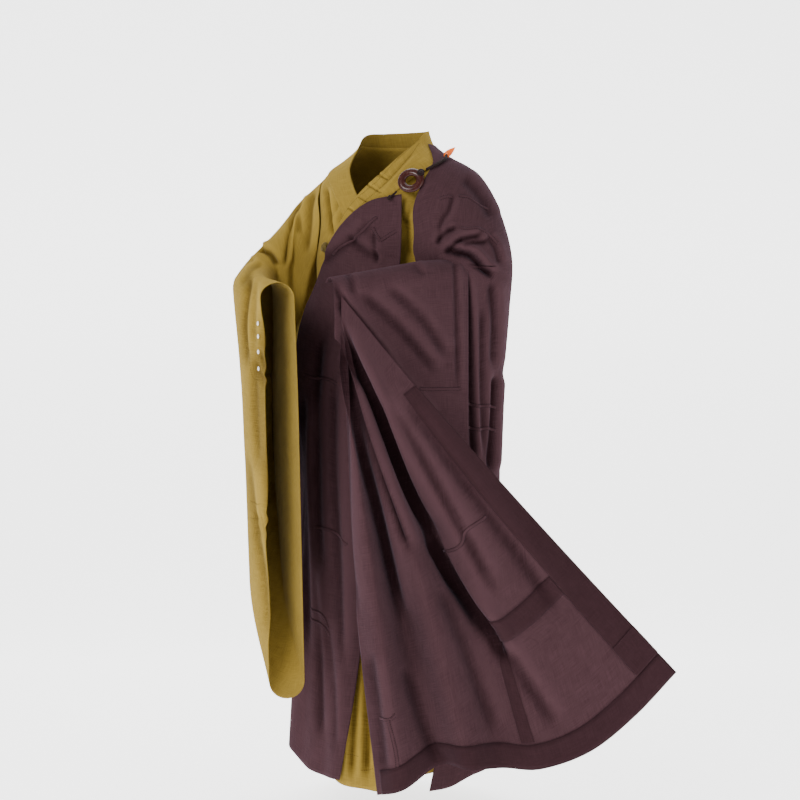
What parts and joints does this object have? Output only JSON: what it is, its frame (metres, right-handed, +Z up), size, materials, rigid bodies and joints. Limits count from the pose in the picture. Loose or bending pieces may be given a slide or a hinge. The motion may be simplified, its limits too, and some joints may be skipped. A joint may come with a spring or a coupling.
{
  "type": "worn buddhist monk robe with patched outer robe",
  "caption": "Worn monk's robe: crossed wide-sleeved gown under a patched outer robe fastened on the left chest by a ring and hook, its free corner swung out.",
  "frame": {"origin": "on the body's axis at the height of the shoulders, where the wearer carries the robe", "axes": "+Z up, the robe's front faces -Y, the wearer's left is +X"},
  "size_m": [0.996, 0.5777, 1.4427],
  "materials": {
    "gown_cloth": "plain-woven mustard cloth, matt",
    "robe_cloth": "fine dark maroon-brown cloth, slightly sheer, soft sheen",
    "robe_band": "doubled dark maroon-brown cloth",
    "ring_lacquer": "dark red-brown gloss lacquer",
    "amber": "orange translucent gloss",
    "dark_cord": "dark braided cord",
    "snap_shell": "pearly snap"
  },
  "bodies": {
    "root": {"gown_left_front": "gown_cloth", "gown_right_front": "gown_cloth", "gown_back": "gown_cloth", "gown_collar_left": "gown_cloth", "gown_collar_right": "gown_cloth", "gown_right_sleeve": "gown_cloth", "gown_left_sleeve": "gown_cloth", "gown_side_tie": "gown_cloth", "robe_front": "robe_cloth", "robe_right_back": "robe_cloth", "robe_left_back": "robe_cloth", "robe_shoulder": "robe_cloth", "robe_forearm_drape": "robe_cloth", "robe_swung_panel": "robe_cloth", "robe_border_band": "robe_band", "robe_hem_band": "robe_band", "robe_cross_band": "robe_band", "robe_strip_band": "robe_band", "robe_corner_patch": "robe_band", "clasp_ring": "ring_lacquer", "clasp_hook": "dark_cord", "clasp_leaf": "amber", "clasp_loop": "dark_cord", "clasp_knot": "dark_cord", "sleeve_snap_1": "snap_shell", "sleeve_snap_2": "snap_shell", "sleeve_snap_3": "snap_shell", "sleeve_snap_4": "snap_shell", "sleeve_snap_5": "snap_shell"}
  },
  "joints": []
}
